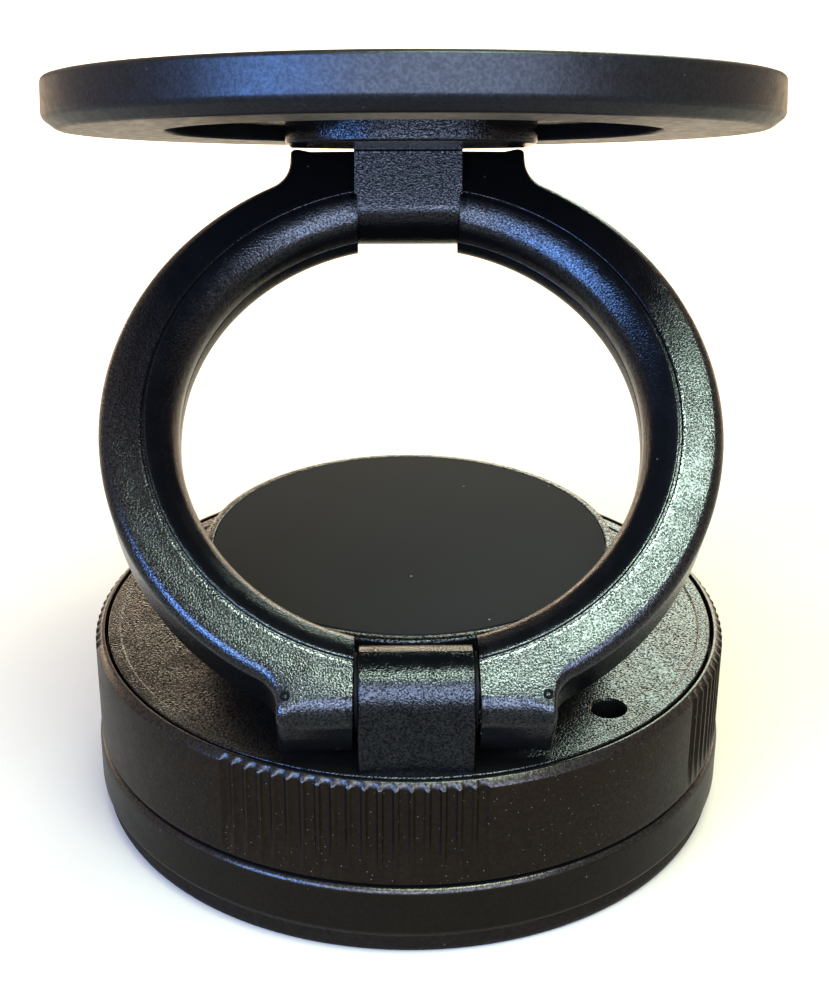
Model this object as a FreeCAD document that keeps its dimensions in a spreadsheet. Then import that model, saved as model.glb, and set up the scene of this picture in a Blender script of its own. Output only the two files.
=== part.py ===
"""Folding magnetic phone mount: a twist-lock suction base, a ring arm hinged
at both ends and a round magnetic plate that spins on a swivel hub.
All lengths are in millimetres. The origin is the centre of the suction face,
+Z is up and -Y is the side with the lower hinge."""
import os
import re

import FreeCAD
import Part

SIZES = (
    # suction cup
    ("cup_height", 2.0),
    ("cup_inset", 0.2),
    ("cup_lip", 2.3),
    ("cup_dome_band", 10.8),
    ("cup_dome_height", 1.0),
    ("cup_web", 0.6),
    ("cup_rib_inset", 2.4),
    ("cup_rib_wall", 2.0),
    ("cup_rib_rise", 1.6),
    ("cup_hub_radius", 6.5),
    ("cup_hub_rise", 4.0),
    # lower housing
    ("housing_overhang", 0.2),
    ("housing_height", 4.8),
    ("housing_round", 0.6),
    ("housing_floor_thick", 1.4),
    ("housing_ledge", 2.4),
    ("guide_wall", 1.8),
    ("guide_clearance", 1.2),
    ("rail_clearance", 0.3),
    ("rail_wall", 1.2),
    ("rail_rise", 2.8),
    # grip ring
    ("knob_radius", 29.0),
    ("knob_height", 9.85),
    ("knob_seam", 0.25),
    ("knob_wall", 2.5),
    ("knob_rim_wall", 0.85),
    ("knob_edge", 0.3),
    ("web_drop", 3.6),
    ("web_thick", 1.8),
    ("web_glide", 0.5),
    ("hub_wall", 3.0),
    ("hub_rise", 2.5),
    ("groove_radius", 0.48),
    ("groove_start", 0.65),
    ("twist_range", 60.0),
    ("post_margin", 9.0),
    ("post_clearance", 0.4),
    # top cover with its platform and hinge lug
    ("cover_gap", 0.3),
    ("cover_thick", 2.0),
    ("cover_seat_gap", 0.3),
    ("cover_band", 1.1),
    ("cover_step", 0.12),
    ("shelf_width", 10.2),
    ("platform_height", 7.5),
    ("platform_lip", 0.5),
    ("platform_wall", 2.0),
    ("platform_roof_thick", 2.1),
    ("pad_inset", 0.95),
    ("pad_thick", 0.35),
    ("pad_proud", 0.05),
    ("pad_clearance", 0.05),
    ("post_radius", 2.5),
    ("post_inset", 8.5),
    ("screw_radius", 1.25),
    ("screw_head_radius", 2.2),
    ("screw_head_height", 1.2),
    ("screw_drive_depth", 0.7),
    ("screw_short", 2.4),
    ("vent_radius", 1.45),
    ("vent_inset", 4.96),
    # lift stem
    ("stem_radius", 6.0),
    ("stem_proud", 1.4),
    ("stem_foot_radius", 5.0),
    ("stem_foot_drop", 2.8),
    ("stem_foot_thick", 1.2),
    ("stem_neck_radius", 2.5),
    ("cross_pin_radius", 1.0),
    ("cross_pin_rise", 1.6),
    ("cross_pin_reach", 1.4),
    ("cross_pin_play", 0.1),
    ("run_clearance", 0.06),
    # hinges
    ("hinge_clear", 0.97),
    ("hinge_rise", 5.5),
    ("hinge_extra", 0.2),
    ("ring_angle", 39.0),
    ("plate_angle", 17.5),
    ("lug_radius", 3.73),
    ("lug_half", 4.6),
    ("slot_gap", 0.36),
    ("pin_radius", 1.5),
    ("pin_seat", 4.84),
    ("washer_land", 0.53),
    ("washer_gap", 0.03),
    # ring arm
    ("ring_out", 3.0),
    ("ring_in", 3.7),
    ("ring_half", 3.6),
    ("ring_edge", 0.8),
    ("facet_offset", 0.7),
    ("facet_slope", 0.08),
    ("bead_radius", 2.6),
    ("bead_drop", 2.5),
    ("back_chamfer", 2.5),
    ("ear_end", 4.4),
    ("ear_round", 2.0),
    ("lower_ear_wall", 6.24),
    ("upper_ear_wall", 5.74),
    ("flare", 3.0),
    # magnetic plate, measured up from the hinge axis
    ("plate_radius", 29.0),
    ("plate_under", 5.3),
    ("plate_thick", 4.0),
    ("plate_chamfer_w", 1.25),
    ("plate_chamfer_h", 0.93),
    ("plate_band", 9.4),
    ("recess_depth", 2.0),
    ("roof_thick", 0.4),
    ("tray_wall", 1.4),
    ("tray_step", 0.8),
    ("tray_floor", 1.0),
    ("disc_gap", 0.3),
    ("disc_thick", 0.7),
    ("disc_clear", 0.1),
    ("journal_radius", 8.0),
    ("journal_proud", 0.25),
    ("boss_half", 8.2),
    ("boss_length", 9.6),
    ("boss_inset", 0.4),
    ("boss_drop", 0.6),
    ("arm_lap", 2.1),
    ("arm_gap", 0.3),
    ("retainer_radius", 11.0),
    ("retainer_thick", 0.45),
    ("swivel_washer_thick", 0.2),
    ("swivel_washer_play", 0.3),
    ("swivel_washer_short", 0.2),
    ("hub_screw_radius", 1.4),
    ("hub_screw_head", 3.0),
    ("hub_screw_head_thick", 0.45),
    ("yoke_play", 0.1),
    ("yoke_short", 0.2),
    ("yoke_thick", 0.5),
    ("magnet_play", 0.5),
    ("magnet_short", 0.4),
    ("magnet_thick", 2.15),
    ("magnet_arc", 43.0),
    ("face_play", 0.1),
    ("face_thick", 0.45),
)
# sizes that follow from the ones above
FOLLOWS = {
    "cup_radius": "knob_radius - cup_inset",
    "cup_lip_inner": "cup_radius - cup_lip",
    "cup_dome_radius": "cup_radius - cup_dome_band",
    "cup_web_top": "cup_height + cup_web",
    "cup_rib_radius": "cup_radius - cup_rib_inset",
    "cup_rib_inner": "cup_rib_radius - cup_rib_wall",
    "cup_rib_top": "cup_height + cup_rib_rise",
    "cup_hub_top": "cup_height + cup_hub_rise",
    "housing_radius": "knob_radius + housing_overhang",
    "housing_top": "cup_height + housing_height",
    "housing_floor": "housing_top - housing_floor_thick",
    "housing_cavity": "cup_rib_radius - housing_ledge",
    "guide_inner": "stem_radius + guide_clearance",
    "guide_outer": "guide_inner + guide_wall",
    "guide_top": "web_bottom - web_glide",
    "rail_outer": "knob_bore - rail_clearance",
    "rail_inner": "rail_outer - rail_wall",
    "rail_top": "housing_top + rail_rise",
    "knob_bottom": "housing_top + knob_seam",
    "knob_top": "knob_bottom + knob_height",
    "knob_bore": "knob_radius - knob_wall",
    "knob_seat_radius": "knob_radius - knob_rim_wall",
    "knob_seat_bottom": "cover_bottom - cover_seat_gap",
    "web_top": "knob_top - web_drop",
    "web_bottom": "web_top - web_thick",
    "hub_radius": "stem_radius + hub_wall",
    "hub_top": "web_top + hub_rise",
    "groove_bottom": "knob_bottom + groove_start",
    "cover_radius": "knob_seat_radius - cover_gap",
    "cover_bottom": "knob_top - cover_thick",
    "shelf_top": "knob_top - cover_step",
    "platform_radius": "knob_radius - shelf_width",
    "platform_top": "knob_top + platform_height",
    "platform_bore": "platform_radius - platform_wall",
    "platform_roof": "platform_top - platform_roof_thick",
    "pad_radius": "platform_radius - pad_inset",
    "pad_top": "platform_top + pad_proud",
    "pad_seat_bottom": "pad_top - pad_thick",
    "post_circle": "knob_radius - post_inset",
    "screw_end": "cover_bottom - screw_short",
    "vent_circle": "knob_radius - vent_inset",
    "stem_bottom": "cup_hub_top",
    "stem_top": "hub_top + stem_proud",
    "stem_foot_bottom": "stem_bottom - stem_foot_drop",
    "stem_foot_top": "stem_foot_bottom + stem_foot_thick",
    "cross_pin_height": "stem_bottom + cross_pin_rise",
    "cross_pin_half": "guide_inner + cross_pin_reach",
    "hinge_reach": "platform_radius + hinge_clear + lug_radius",
    "hinge_height": "knob_top + hinge_rise",
    "hinge_span": "2 * hinge_reach + hinge_extra",
    "slot_half": "lug_half + slot_gap",
    "pin_half": "slot_half + pin_seat",
    "washer_radius": "lug_radius - washer_land",
    "ring_outer": "hinge_span / 2 + ring_out",
    "ring_inner": "hinge_span / 2 - ring_in",
    "facet_inner": "hinge_span / 2 - facet_offset",
    "facet_edge": "ring_half - facet_slope * (ring_outer - facet_inner)",
    "bead_circle": "ring_inner + bead_radius",
    "bead_height": "ring_half - bead_drop",
    "lower_ear_half": "slot_half + lower_ear_wall",
    "upper_ear_half": "slot_half + upper_ear_wall",
    "plate_centre": "hinge_reach",
    "recess_radius": "plate_radius - plate_band",
    "roof_top": "recess_depth + roof_thick",
    "tray_outer": "plate_radius - tray_wall",
    "tray_inner": "recess_radius + tray_step",
    "disc_radius": "recess_radius - disc_gap",
    "disc_high": "recess_depth - disc_clear",
    "disc_low": "disc_high - disc_thick",
    "journal_top": "roof_top + journal_proud",
    "boss_radius": "recess_radius - boss_inset",
    "boss_near": "boss_radius - boss_length",
    "arm_root": "plate_centre - boss_radius + arm_lap",
    "retainer_top": "journal_top + retainer_thick",
    "swivel_washer_in": "journal_radius + swivel_washer_play",
    "swivel_washer_out": "retainer_radius - swivel_washer_short",
    "swivel_washer_top": "roof_top + swivel_washer_thick",
    "hub_screw_top": "retainer_top + hub_screw_head_thick",
    "yoke_inner": "tray_inner + yoke_play",
    "yoke_outer": "tray_outer - yoke_short",
    "yoke_top": "tray_floor + yoke_thick",
    "magnet_inner": "tray_inner + magnet_play",
    "magnet_outer": "tray_outer - magnet_short",
    "magnet_top": "yoke_top + magnet_thick",
    "face_radius": "tray_outer - face_play",
    "face_top": "magnet_top + face_thick",
}
NAMES = {alias for alias, value in SIZES}
WORD = re.compile(r"[a-z][a-z0-9_]*")
MAGNETS = 8
GRIP_PATCHES = 4
GRIP_GROOVES = 18
GRIP_PITCH = 2.55
GRIP_CENTRE = -101.0
POSTS = (90.0, 210.0, 330.0)
VENT_BEARING = 313.8

doc = FreeCAD.newDocument("phone_mount")
sheet = doc.addObject("Spreadsheet::Sheet", "Sizes")
for row, (alias, value) in enumerate(SIZES, 1):
    sheet.set("A%d" % row, alias)
    sheet.set("B%d" % row, str(value))
    sheet.setAlias("B%d" % row, alias)
doc.recompute()
nodes = []


def spelled(text):
    """An expression with every word traced back to the sheet."""
    def full(match):
        word = match.group()
        if word in FOLLOWS:
            return "(" + spelled(FOLLOWS[word]) + ")"
        return "Sizes." + word if word in NAMES else word
    return WORD.sub(full, text)


def bind(obj, prop, text):
    """Drive one property from an expression that uses the sheet's words."""
    obj.setExpression(prop, spelled(text))


def at(obj, x, y, z):
    bind(obj, "Placement.Base.x", x)
    bind(obj, "Placement.Base.y", y)
    bind(obj, "Placement.Base.z", z)
    return obj


def turn(obj, axis, angle):
    rotation = FreeCAD.Rotation(FreeCAD.Vector(*axis), angle)
    obj.Placement = FreeCAD.Placement(FreeCAD.Vector(0, 0, 0), rotation)
    return obj


def cyl(radius, low, high, x="0", y="0"):
    obj = doc.addObject("Part::Cylinder", "cylinder")
    bind(obj, "Radius", radius)
    bind(obj, "Height", "(%s) - (%s)" % (high, low))
    return at(obj, x, y, low)


def wedge_of_circle(radius, low, high, start, angle, y="0"):
    obj = cyl(radius, low, high, "0", y)
    bind(obj, "Angle", angle)
    turn(obj, (0, 0, 1), 1.0)
    bind(obj, "Placement.Rotation.Angle", start)
    return at(obj, "0", y, low)


def bar(radius, left, right, y, z):
    """Round bar along X."""
    obj = doc.addObject("Part::Cylinder", "bar")
    bind(obj, "Radius", radius)
    bind(obj, "Height", "(%s) - (%s)" % (right, left))
    turn(obj, (0, 1, 0), 90)
    return at(obj, left, y, z)


def cone(low_radius, high_radius, low, high, y="0"):
    obj = doc.addObject("Part::Cone", "cone")
    bind(obj, "Radius1", low_radius)
    bind(obj, "Radius2", high_radius)
    bind(obj, "Height", "(%s) - (%s)" % (high, low))
    return at(obj, "0", y, low)


def box(x0, x1, y0, y1, z0, z1):
    obj = doc.addObject("Part::Box", "box")
    bind(obj, "Length", "(%s) - (%s)" % (x1, x0))
    bind(obj, "Width", "(%s) - (%s)" % (y1, y0))
    bind(obj, "Height", "(%s) - (%s)" % (z1, z0))
    return at(obj, x0, y0, z0)


def fuse(*shapes):
    obj = doc.addObject("Part::MultiFuse", "fuse")
    obj.Shapes = list(shapes)
    obj.Refine = True
    return obj


def group(shapes):
    obj = doc.addObject("Part::Compound", "group")
    obj.Links = list(shapes)
    return obj


def cut(base, *tools):
    for tool in tools:
        obj = doc.addObject("Part::Cut", "cut")
        obj.Base = base
        obj.Tool = tool
        base = obj
    base.Refine = True
    return base


def common(first, second):
    obj = doc.addObject("Part::MultiCommon", "common")
    obj.Shapes = [first, second]
    obj.Refine = True
    return obj


def tube(outer, inner, low, high, y="0"):
    return cut(cyl(outer, low, high, "0", y), cyl(inner, low, high, "0", y))


def edge_up(radius, width, drop, top, y="0"):
    """Cutter that bevels the upper outer edge of a disc."""
    low = "(%s) - (%s)" % (top, drop)
    high = "(%s) + (%s)" % (top, drop)
    blank = cyl("(%s) + 2" % radius, low, high, "0", y)
    keep = cone(radius, "(%s) - 2 * (%s)" % (radius, width), low, high, y)
    return cut(blank, keep)


def edge_down(radius, width, drop, low, y="0"):
    """Cutter that bevels the lower outer edge of a disc."""
    top = "(%s) + (%s)" % (low, drop)
    under = "(%s) - (%s)" % (low, drop)
    blank = cyl("(%s) + 2" % radius, under, top, "0", y)
    keep = cone("(%s) - 2 * (%s)" % (radius, width), radius, under, top, y)
    return cut(blank, keep)


def node(name, obj, frame="base"):
    """Name a finished piece and set it in its own group's frame."""
    obj.Label = name
    if frame == "ring":
        turn(obj, (1, 0, 0), 39.0)
        bind(obj, "Placement.Rotation.Angle", "ring_angle")
        at(obj, "0", "0 - hinge_reach", "hinge_height")
    elif frame == "plate":
        turn(obj, (-1, 0, 0), 17.5)
        bind(obj, "Placement.Rotation.Angle", "plate_angle")
        at(obj, "0", "hinge_span * cos(ring_angle) - hinge_reach",
           "hinge_height + hinge_span * sin(ring_angle)")
    nodes.append(obj)
    return obj


def polar(circle, degrees):
    """Expressions for a point on a circle given by a sheet word."""
    return ("%s * cos(%s)" % (circle, degrees), "%s * sin(%s)" % (circle, degrees))


# suction cup: a soft disc with a locating rib and a hub moulded over the stem's foot
cup = fuse(cyl("cup_radius", "0", "cup_height"),
           cyl("cup_rib_radius", "cup_dome_height", "cup_rib_top"))
cup = cut(cup,
          cone("cup_lip_inner", "cup_dome_radius", "0", "cup_dome_height"),
          cyl("cup_rib_inner", "cup_web_top", "cup_rib_top"))
cup = fuse(cup, cyl("cup_hub_radius", "cup_height", "cup_hub_top"))
cup = cut(cup,
          fuse(cyl("stem_foot_radius", "stem_foot_bottom", "stem_foot_top"),
               cyl("stem_neck_radius", "stem_foot_bottom", "stem_bottom")))
node("suction_cup", cup)

# lower housing: floor, guide tube with two slots and the rail the grip ring turns on
housing = fuse(cyl("housing_radius", "cup_height", "housing_top"),
               tube("rail_outer", "rail_inner", "housing_floor", "rail_top"),
               cyl("guide_outer", "housing_floor", "guide_top"))
housing = cut(housing,
              cyl("cup_rib_radius", "cup_height", "cup_rib_top"),
              cyl("housing_cavity", "cup_rib_top", "housing_floor"),
              cyl("guide_inner", "cup_rib_top", "guide_top"),
              box("0 - guide_outer - 1", "guide_outer + 1",
                  "0 - cross_pin_radius - cross_pin_play", "cross_pin_radius + cross_pin_play",
                  "cross_pin_height - cross_pin_radius - 2 * cross_pin_play", "guide_top"),
              edge_up("housing_radius", "housing_round", "housing_round", "housing_top"))
holes = []
for angle in POSTS:
    px, py = polar("post_circle", angle)
    holes.append(cyl("screw_radius", "cup_rib_top", "housing_top", px, py))
node("lower_housing", cut(housing, group(holes)))

# cover screws, driven up through the floor into the cover's posts
for number, angle in enumerate(POSTS, 1):
    px, py = polar("post_circle", angle)
    head_low = "housing_floor - screw_head_height"
    screw = fuse(cyl("screw_head_radius", head_low, "housing_floor", px, py),
                 cyl("screw_radius", head_low, "screw_end", px, py))
    drive = cyl("screw_radius * 0.7", head_low, head_low + " + screw_drive_depth", px, py)
    node("cover_screw_%d" % number, cut(screw, drive))

# glide washer between the guide tube and the grip ring's web
node("glide_washer", tube("guide_outer - 0.1", "guide_inner + 0.2",
                          "guide_top", "web_bottom - 0.05"))

# grip ring: ribbed wall, slotted web and the hub that drives the lift stem
wall = cut(cyl("knob_radius", "knob_bottom", "knob_top"),
           cyl("knob_bore", "knob_bottom", "knob_top"),
           cyl("knob_seat_radius", "knob_seat_bottom", "knob_top"),
           edge_up("knob_radius", "knob_edge", "knob_edge", "knob_top"),
           edge_down("knob_radius", "knob_edge", "knob_edge", "knob_bottom"))
web = fuse(cyl("knob_bore + 0.5", "web_bottom", "web_top"),
           cyl("hub_radius", "web_bottom", "hub_top"))
slots = []
for angle in POSTS:
    start = "%s - twist_range - post_margin" % angle
    outer = wedge_of_circle("post_circle + post_radius + post_clearance", "web_bottom - 1",
                            "web_top + 1", start, "twist_range + 2 * post_margin")
    inner = cyl("post_circle - post_radius - post_clearance", "web_bottom - 1", "web_top + 1")
    slots.append(cut(outer, inner))
web = cut(web, group(slots),
          cyl("stem_radius + run_clearance", "web_bottom - 1", "hub_top + 1"))
grooves = []
for patch in range(GRIP_PATCHES):
    for number in range(GRIP_GROOVES):
        offset = (number - (GRIP_GROOVES - 1) / 2.0) * GRIP_PITCH
        px, py = polar("knob_radius", GRIP_CENTRE + 90.0 * patch + offset)
        grooves.append(cyl("groove_radius", "groove_bottom", "knob_top + 1", px, py))
knob = cut(fuse(wall, web), group(grooves))
node("grip_ring", knob)

# lift stem and the cross pin that keeps it from turning
stem = fuse(cyl("stem_foot_radius", "stem_foot_bottom", "stem_foot_top"),
            cyl("stem_neck_radius", "stem_foot_bottom", "stem_bottom + 0.5"),
            cyl("stem_radius", "stem_bottom", "stem_top"))
stem = cut(stem, bar("cross_pin_radius", "0 - stem_radius - 1", "stem_radius + 1",
                     "0", "cross_pin_height"))
node("lift_stem", stem)
node("cross_pin", bar("cross_pin_radius", "0 - cross_pin_half", "cross_pin_half",
                      "0", "cross_pin_height"))

# top cover: disc, hollow platform, hinge lug, posts and one small hole
cover = fuse(cyl("cover_radius", "cover_bottom", "knob_top"),
             cyl("platform_radius", "cover_bottom", "platform_top"))
cover = cut(cover, tube("cover_radius - cover_band", "platform_radius", "shelf_top",
                        "knob_top"))
cover = fuse(cover,
             box("0 - lug_half", "lug_half", "0 - hinge_reach - lug_radius",
                 "lug_radius - hinge_reach", "shelf_top - 0.5", "hinge_height"),
             bar("lug_radius", "0 - lug_half", "lug_half",
                 "0 - hinge_reach", "hinge_height"))
posts = []
pilots = []
for angle in POSTS:
    px, py = polar("post_circle", angle)
    posts.append(cyl("post_radius", "housing_top", "cover_bottom + 0.5", px, py))
    pilots.append(cyl("screw_radius", "housing_top - 0.5", "screw_end", px, py))
cover = cut(cover,
            cyl("platform_bore", "cover_bottom - 1", "platform_roof"),
            cyl("pad_radius + pad_clearance", "pad_seat_bottom", "platform_top + 1"),
            edge_up("platform_radius", "platform_lip", "platform_lip", "platform_top"),
            bar("pin_radius + run_clearance", "0 - lug_half - 1", "lug_half + 1",
                "0 - hinge_reach", "hinge_height"),
            cyl("vent_radius", "cover_bottom - 1", "knob_top + 1",
                *polar("vent_circle", VENT_BEARING)))
cover = cut(fuse(cover, *posts), group(pilots))
node("top_cover", cover)
node("platform_pad", cyl("pad_radius", "pad_seat_bottom", "pad_top"))

# ring arm, drawn lying flat: hinge axis at the origin, ring centre along +Y
MID = "hinge_span / 2"


def flares(half, sign, low, high):
    """Concave fillets from the ring's outside to an ear's sides."""
    rise = "sqrt((ring_outer + flare) ^ 2 - (%s + flare) ^ 2)" % half
    touch = "%s * ring_outer / (ring_outer + flare)" % rise
    outer_x = "(%s + flare) * ring_outer / (ring_outer + flare)" % half
    if sign < 0:
        near = "%s - %s" % (MID, rise)
        far = "%s - %s + 1" % (MID, touch)
        centre = near
    else:
        near = "%s + %s - 1" % (MID, touch)
        far = "%s + %s" % (MID, rise)
        centre = far
    right = box("%s - 0.5" % half, outer_x, near, far, low, high)
    left = box("0 - (%s)" % outer_x, "0.5 - %s" % half, near, far, low, high)
    right = cut(right, cyl("flare", "(%s) - 1" % low, "(%s) + 1" % high,
                           "%s + flare" % half, centre))
    left = cut(left, cyl("flare", "(%s) - 1" % low, "(%s) + 1" % high,
                         "0 - %s - flare" % half, centre))
    return [right, left]


def end_round(side, face):
    """Cutter for the rounded far edge of an ear, on the front or the back."""
    centre_z = "ring_half - ear_round" if face > 0 else "ear_round - ring_half"
    z0, z1 = (centre_z, "ring_half + 1") if face > 0 else ("0 - ring_half - 1", centre_z)
    if side < 0:
        centre_y = "ear_round - ear_end"
        y0, y1 = "0 - ear_end - 1", centre_y
    else:
        centre_y = "hinge_span + ear_end - ear_round"
        y0, y1 = centre_y, "hinge_span + ear_end + 1"
    blank = box("0 - 15", "15", y0, y1, z0, z1)
    return cut(blank, bar("ear_round", "0 - 16", "16", centre_y, centre_z))


def facet_top():
    """Cutter that leaves the ring's front as a shallow cone, falling outwards."""
    reach = "(ring_outer + 2 * ear_end)"
    low = "ring_half - facet_slope * (%s - facet_inner)" % reach
    blank = cyl(reach, low, "ring_half + 1", "0", MID)
    keep = fuse(cone(reach, "facet_inner", low, "ring_half", MID),
                cyl("facet_inner", "ring_half - 0.1", "ring_half + 1", "0", MID))
    return cut(blank, keep)


def ring_half_shell(face):
    low, high = ("0", "ring_half") if face > 0 else ("0 - ring_half", "0")
    if face > 0:
        bevel = edge_up("ring_outer", "ring_edge", "ring_edge", "facet_edge", MID)
    else:
        bevel = edge_down("ring_outer", "ring_edge", "ring_edge", low, MID)
    pieces = [cut(cyl("ring_outer", low, high, "0", MID), bevel)]
    pieces.append(box("0 - lower_ear_half", "lower_ear_half", "0 - ear_end", "2", low, high))
    pieces.append(box("0 - upper_ear_half", "upper_ear_half", "hinge_span - 2",
                      "hinge_span + ear_end", low, high))
    pieces += flares("lower_ear_half", -1, low, high)
    pieces += flares("upper_ear_half", 1, low, high)
    shell = cut(fuse(*pieces), end_round(-1, face), end_round(1, face),
                cyl("ring_inner", "(%s) - 1" % low, "(%s) + 1" % high, "0", MID))
    if face > 0:
        bead = doc.addObject("Part::Torus", "bead")
        bind(bead, "Radius1", "bead_circle")
        bind(bead, "Radius2", "bead_radius")
        at(bead, "0", MID, "bead_height")
        bead = cut(bead, cyl("ring_outer", "0 - bead_radius", "0", "0", MID))
        shell = cut(shell, facet_top(), cyl("bead_circle", "bead_height", "ring_half + 1", "0", MID))
        shell = fuse(shell, bead)
    else:
        back = cone("ring_inner + back_chamfer * 1.2", "ring_inner - 0.01",
                    "0 - ring_half - 0.2 * back_chamfer", "back_chamfer - ring_half", MID)
        shell = cut(shell, back)
    slots = [box("0 - slot_half", "slot_half", "0 - 8", "8", "0 - 6", "6"),
             box("0 - slot_half", "slot_half", "hinge_span - 8", "hinge_span + 8",
                 "0 - 6", "6")]
    bores = [bar("pin_radius", "0 - pin_half", "pin_half", "0", "0"),
             bar("pin_radius", "0 - pin_half", "pin_half", "hinge_span", "0")]
    return cut(shell, group(slots), group(bores))


for face, word in ((1, "front"), (-1, "back")):
    whole = ring_half_shell(face)
    left = box("0 - 40", "0", "0 - 20", "hinge_span + 20", "0 - 8", "8")
    right = box("0", "40", "0 - 20", "hinge_span + 20", "0 - 8", "8")
    node("ring_left_" + word, common(whole, left), "ring")
    node("ring_right_" + word, common(whole, right), "ring")

# hinge pins and friction washers, both held in the ring arm's ears
for place, axis in (("lower", "0"), ("upper", "hinge_span")):
    pin = bar("pin_radius", "0 - pin_half", "pin_half", axis, "0")
    node(place + "_pin", group([pin]), "ring")
    inner = "lug_half + washer_gap"
    right = cut(bar("washer_radius", inner, "slot_half", axis, "0"),
                bar("pin_radius", inner, "slot_half", axis, "0"))
    left = cut(bar("washer_radius", "0 - slot_half", "0 - (%s)" % inner, axis, "0"),
               bar("pin_radius", "0 - slot_half", "0 - (%s)" % inner, axis, "0"))
    node(place + "_washer_right", right, "ring")
    node(place + "_washer_left", left, "ring")

# plate group: hinge axis at the origin, plate centre along -Y, plate above
CENTRE = "0 - plate_centre"


def up(word):
    return "plate_under + (%s)" % word


# swivel hub: disc in the recess, boss, sloping arm and hinge barrel in one moulding
disc = cyl("disc_radius", up("disc_low"), up("disc_high"), "0", CENTRE)
journal = cyl("journal_radius", up("disc_low"), up("journal_top"), "0", CENTRE)
boss = common(box("0 - boss_half", "boss_half", "boss_near - plate_centre",
                  "boss_radius - plate_centre", "plate_under - boss_drop",
                  up("disc_low + 0.2")),
              cyl("boss_radius", "plate_under - boss_drop", up("disc_low + 0.2"), "0", CENTRE))
arm = doc.addObject("Part::Wedge", "arm")
bind(arm, "Xmin", "0 - lug_radius")
bind(arm, "Xmax", "lug_radius")
bind(arm, "X2min", "0 - arm_root")
bind(arm, "X2max", "lug_radius")
bind(arm, "Ymin", "0")
bind(arm, "Ymax", "plate_under - arm_gap")
bind(arm, "Zmin", "0 - lug_half")
bind(arm, "Zmax", "lug_half")
bind(arm, "Z2min", "0 - lug_half")
bind(arm, "Z2max", "lug_half")
turn(arm, (1, 1, 1), 120)
barrel = bar("lug_radius", "0 - lug_half", "lug_half", "0", "0")
hub = cut(fuse(disc, journal, boss, arm, barrel),
          bar("pin_radius + run_clearance", "0 - lug_half - 1", "lug_half + 1", "0", "0"),
          cyl("hub_screw_radius", up("disc_low + 0.3"), up("journal_top + 1"), "0", CENTRE))
node("swivel_hub", hub, "plate")
node("swivel_retainer",
     cut(cyl("retainer_radius", up("journal_top"), up("retainer_top"), "0", CENTRE),
         cyl("hub_screw_radius", up("journal_top"), up("retainer_top"), "0", CENTRE)),
     "plate")
screw = fuse(cyl("hub_screw_radius", up("disc_low + 0.3"), up("retainer_top + 0.1"), "0", CENTRE),
             cyl("hub_screw_head", up("retainer_top"), up("hub_screw_top"), "0", CENTRE))
node("swivel_screw", screw, "plate")
node("swivel_washer", tube("swivel_washer_out", "swivel_washer_in", up("roof_top"),
                           up("swivel_washer_top"), CENTRE), "plate")

# plate body: rim, floor with the swivel recess and the magnet tray
body = cyl("plate_radius", "plate_under", up("plate_thick"), "0", CENTRE)
body = cut(body,
           edge_down("plate_radius", "plate_chamfer_w", "plate_chamfer_h",
                     "plate_under", CENTRE),
           cyl("recess_radius", "plate_under - 1", up("recess_depth"), "0", CENTRE),
           cyl("tray_outer", up("roof_top"), up("plate_thick + 1"), "0", CENTRE),
           tube("tray_outer", "tray_inner", up("tray_floor"), up("roof_top + 0.5"), CENTRE),
           cyl("journal_radius + run_clearance", "plate_under", up("plate_thick"),
               "0", CENTRE))
node("plate_body", body, "plate")
node("steel_yoke", tube("yoke_outer", "yoke_inner", up("tray_floor"), up("yoke_top"), CENTRE),
     "plate")
for number in range(MAGNETS):
    start = str(number * 360.0 / MAGNETS)
    outer = wedge_of_circle("magnet_outer", up("yoke_top"), up("magnet_top"), start,
                            "magnet_arc", CENTRE)
    inner = cyl("magnet_inner", up("yoke_top"), up("magnet_top"), "0", CENTRE)
    node("magnet_%d" % (number + 1), cut(outer, inner), "plate")
face = cyl("face_radius", up("magnet_top"), up("face_top"), "0", CENTRE)
node("face_pad", group([face]), "plate")

doc.recompute()
problems = []
for obj in doc.Objects:
    if "Invalid" in obj.State or "Error" in obj.State:
        problems.append(obj.Name + " " + obj.Label)
for obj in nodes:
    if obj.Shape.isNull() or not obj.Shape.isValid() or obj.Shape.Volume <= 0:
        problems.append("shape of " + obj.Label)
    if len(obj.Shape.Solids) != 1:
        problems.append("%s has %d solids" % (obj.Label, len(obj.Shape.Solids)))
if problems:
    raise SystemExit("\n".join(problems))
os.makedirs("parts", exist_ok=True)
for obj in nodes:
    obj.Shape.exportStep("parts/%s.step" % obj.Label)
print("%d nodes" % len(nodes))
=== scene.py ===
"""Folding magnetic phone mount, dressed for the camera: black moulded plastic
with spark-eroded grain, a matte sheet on the base and a ribbed twist ring.
Pieces are drawn in millimetres in their own group's frame, then set in metres."""
import math

import bmesh
import bpy
from mathutils import Matrix, Vector


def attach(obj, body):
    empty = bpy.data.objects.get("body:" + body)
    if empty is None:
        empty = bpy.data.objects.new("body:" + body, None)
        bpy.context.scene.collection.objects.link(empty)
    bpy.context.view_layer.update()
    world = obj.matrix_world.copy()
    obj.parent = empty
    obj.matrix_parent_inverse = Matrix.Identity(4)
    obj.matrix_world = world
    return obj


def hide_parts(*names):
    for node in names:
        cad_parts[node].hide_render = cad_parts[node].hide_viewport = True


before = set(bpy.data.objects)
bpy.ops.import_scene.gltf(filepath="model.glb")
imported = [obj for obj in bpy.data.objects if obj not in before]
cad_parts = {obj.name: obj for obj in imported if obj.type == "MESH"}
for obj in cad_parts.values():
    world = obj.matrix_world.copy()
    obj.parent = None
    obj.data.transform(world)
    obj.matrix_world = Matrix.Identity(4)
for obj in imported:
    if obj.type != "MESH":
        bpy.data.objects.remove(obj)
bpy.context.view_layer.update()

MM = 0.001

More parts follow.
